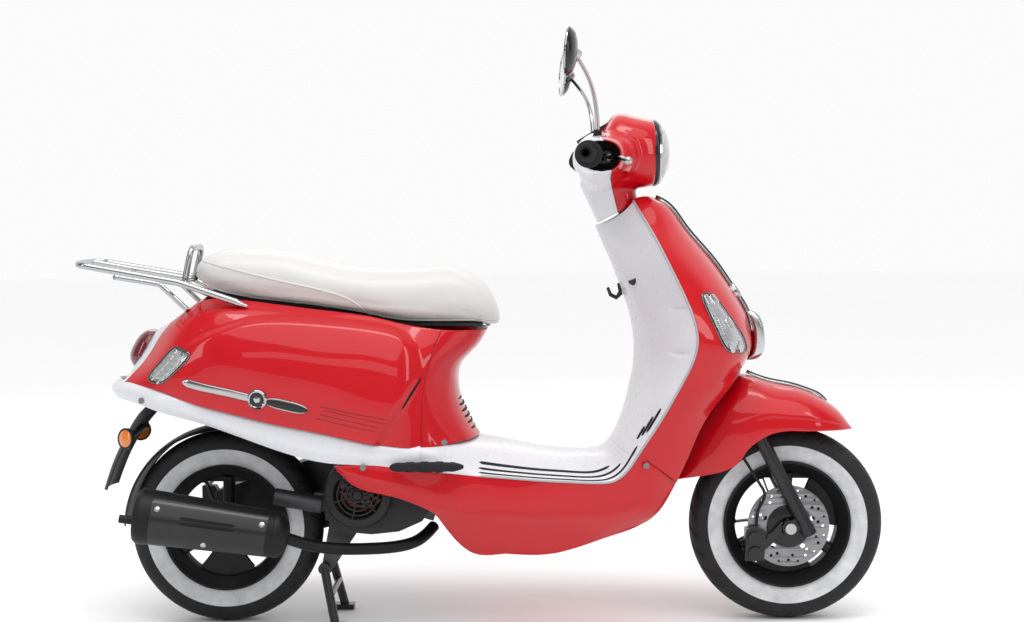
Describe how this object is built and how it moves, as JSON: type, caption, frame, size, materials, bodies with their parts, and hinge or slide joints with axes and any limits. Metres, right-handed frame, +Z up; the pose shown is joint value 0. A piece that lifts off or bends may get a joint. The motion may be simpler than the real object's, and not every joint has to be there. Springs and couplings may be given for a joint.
{
  "type": "moped scooter",
  "caption": "Step-through motor scooter with leg shield, flat floor, long seat over a swinging engine unit, rear carrier, drum-shaped silencer and round mirrors.",
  "frame": {"origin": "on the ground, under the middle of the whole scooter's box", "axes": "+X forward, +Y to the rider's left, +Z up"},
  "size_m": [1.7815, 0.7072, 1.2927],
  "materials": {
    "red_paint": "glossy red lacquer on moulded panels",
    "pale_plastic": "glossy pale grey-white",
    "seat_vinyl": "soft off-white vinyl",
    "black_plastic": "satin black moulding",
    "black_rubber": "matt black rubber",
    "tyre_rubber": "tread rubber with a pale side band",
    "chrome": "polished chrome",
    "black_metal": "satin black enamel",
    "black_alloy": "black enamelled cast aluminium",
    "steel": "machined steel",
    "alloy": "cast aluminium",
    "clear_lens": "clear lens",
    "red_lens": "deep red lamp lens",
    "lamp_plastic": "clear signal lens with silvered pockets"
  },
  "bodies": {
    "frame": {"frame": "black_metal", "leg_shield_front": "red_paint", "leg_shield_inner": "pale_plastic", "floorboard": "pale_plastic", "floor_mats": "black_rubber", "lower_skirts": "red_paint", "seat_front_cover": "red_paint", "cowl_right": "red_paint", "cowl_left": "red_paint", "side_trims": "pale_plastic", "tail_cover": "red_paint", "tail_lamp": "red_lens", "side_lamps": "lamp_plastic", "nose_trim": "chrome", "rear_mudguard": "black_plastic", "luggage_box": "black_plastic", "fuel_tank": "black_plastic", "rear_rack": "chrome", "bag_hook": "black_plastic", "ignition_lock": "steel", "fasteners": "steel", "steering_bearings": "steel"},
    "steering": {"steering_stem": "black_metal", "handlebar": "chrome", "headlight_cover": "red_paint", "handlebar_cover": "pale_plastic", "headlight_bezel": "chrome", "headlight_lens": "clear_lens", "instrument_cluster": "chrome", "front_fender": "red_paint", "left_grip": "black_rubber"},
    "fork": {"fork_legs": "black_alloy", "front_axle": "steel", "brake_caliper": "black_alloy", "brake_hose": "black_rubber"},
    "front_wheel": {"front_rim": "black_alloy", "front_tyre": "tyre_rubber", "brake_disc": "steel"},
    "engine": {"engine_case": "alloy", "fan_cover": "black_plastic", "exhaust": "black_metal"},
    "rear_wheel": {"rear_rim": "black_alloy", "rear_tyre": "tyre_rubber"},
    "fan": {"cooling_fan": "red_paint"},
    "kick": {"kick_lever": "steel"},
    "stand": {"centre_stand": "black_metal"},
    "shock_body": {"shock_upper": "black_metal", "shock_spring": "steel"},
    "shock_rod": {"shock_lower": "black_metal"},
    "seat": {"seat_pan": "black_plastic", "seat_cushion": "seat_vinyl"},
    "throttle": {"throttle_grip": "black_rubber"},
    "right_lever": {"brake_lever_right": "chrome"},
    "left_lever": {"brake_lever_left": "chrome"},
    "start": {"start_button": "black_plastic"},
    "horn": {"horn_button": "black_plastic"},
    "right_mirror": {"mirror_right": "chrome"},
    "left_mirror": {"mirror_left": "chrome"},
    "right_peg": {"footpeg_right": "black_metal"},
    "left_peg": {"footpeg_left": "black_metal"}
  },
  "joints": [
    {"name": "steering_turn", "type": "hinge", "parent": "frame", "child": "steering", "pos_m": [0.675, 0, 0.215], "axis": [-0.454, 0, 0.891], "range_deg": [-35, 35]},
    {"name": "fork_travel", "type": "slide", "parent": "steering", "child": "fork", "axis": [-0.454, 0, 0.891], "range_m": [0, 0.05], "stiffness_N_per_m": 9000, "springref_m": -0.085},
    {"name": "front_wheel_spin", "type": "hinge", "parent": "fork", "child": "front_wheel", "pos_m": [0.675, 0, 0.215], "axis": [0, 1, 0], "continuous": true},
    {"name": "engine_swing", "type": "hinge", "parent": "frame", "child": "engine", "pos_m": [-0.12, 0, 0.345], "axis": [0, 1, 0], "range_deg": [0, 8], "stiffness_Nm_per_rad": 1800, "springref_deg": -17.19},
    {"name": "rear_wheel_spin", "type": "hinge", "parent": "engine", "child": "rear_wheel", "pos_m": [-0.575, 0, 0.215], "axis": [0, 1, 0], "continuous": true},
    {"name": "fan_spin", "type": "hinge", "parent": "engine", "child": "fan", "pos_m": [-0.267, 0, 0.306], "axis": [0, 1, 0], "continuous": true},
    {"name": "kick_start", "type": "hinge", "parent": "engine", "child": "kick", "pos_m": [-0.337, 0.14, 0.284], "axis": [0, -1, 0], "range_deg": [0, 60], "stiffness_Nm_per_rad": 4, "springref_deg": -17.19},
    {"name": "stand_fold", "type": "hinge", "parent": "engine", "child": "stand", "pos_m": [-0.352, 0, 0.128], "axis": [0, 1, 0], "range_deg": [0, 58]},
    {"name": "shock_tilt", "type": "hinge", "parent": "frame", "child": "shock_body", "pos_m": [-0.548, 0.122, 0.59], "axis": [0, 1, 0], "range_deg": [0, 5.74]},
    {"name": "shock_travel", "type": "slide", "parent": "shock_body", "child": "shock_rod", "axis": [0.3024, 0, 0.9532], "range_m": [0, 0.06926], "deforming": ["shock_spring"]},
    {"name": "seat_hinge", "type": "hinge", "parent": "frame", "child": "seat", "pos_m": [0.014, 0, 0.6656], "axis": [0, 1, 0], "range_deg": [0, 75]},
    {"name": "throttle_twist", "type": "hinge", "parent": "steering", "child": "throttle", "pos_m": [0.23296, -0.24, 1.0316], "axis": [-0.0939, -0.9956, 0], "range_deg": [0, 70], "stiffness_Nm_per_rad": 0.3, "springref_deg": -17.19},
    {"name": "right_lever_pull", "type": "hinge", "parent": "steering", "child": "right_lever", "pos_m": [0.27296, -0.205, 1.0256], "axis": [0, 0, -1], "range_deg": [0, 14], "stiffness_Nm_per_rad": 2, "springref_deg": -8.59},
    {"name": "left_lever_pull", "type": "hinge", "parent": "steering", "child": "left_lever", "pos_m": [0.27296, 0.205, 1.0256], "axis": [0, 0, 1], "range_deg": [0, 14], "stiffness_Nm_per_rad": 2, "springref_deg": -8.59},
    {"name": "start_press", "type": "slide", "parent": "steering", "child": "start", "axis": [1, 0, 0], "range_m": [0, 0.003], "stiffness_N_per_m": 400, "springref_m": -0.002},
    {"name": "horn_press", "type": "slide", "parent": "steering", "child": "horn", "axis": [1, 0, 0], "range_m": [0, 0.003], "stiffness_N_per_m": 400, "springref_m": -0.002},
    {"name": "right_mirror_turn", "type": "hinge", "parent": "steering", "child": "right_mirror", "pos_m": [0.25496, -0.132, 1.0576], "axis": [0, 0, 1], "range_deg": [-20, 20]},
    {"name": "left_mirror_turn", "type": "hinge", "parent": "steering", "child": "left_mirror", "pos_m": [0.25496, 0.132, 1.0576], "axis": [0, 0, 1], "range_deg": [-20, 20]},
    {"name": "right_peg_fold", "type": "hinge", "parent": "frame", "child": "right_peg", "pos_m": [-0.048, -0.21, 0.37], "axis": [0, 0, 1], "range_deg": [0, 85]},
    {"name": "left_peg_fold", "type": "hinge", "parent": "frame", "child": "left_peg", "pos_m": [-0.048, 0.21, 0.37], "axis": [0, 0, -1], "range_deg": [0, 85]}
  ],
  "couplings": [
    {"joint": "shock_tilt", "follows": "engine_swing", "ratio": 0.70301},
    {"joint": "shock_travel", "follows": "engine_swing", "m_per_rad": 0.48629}
  ]
}
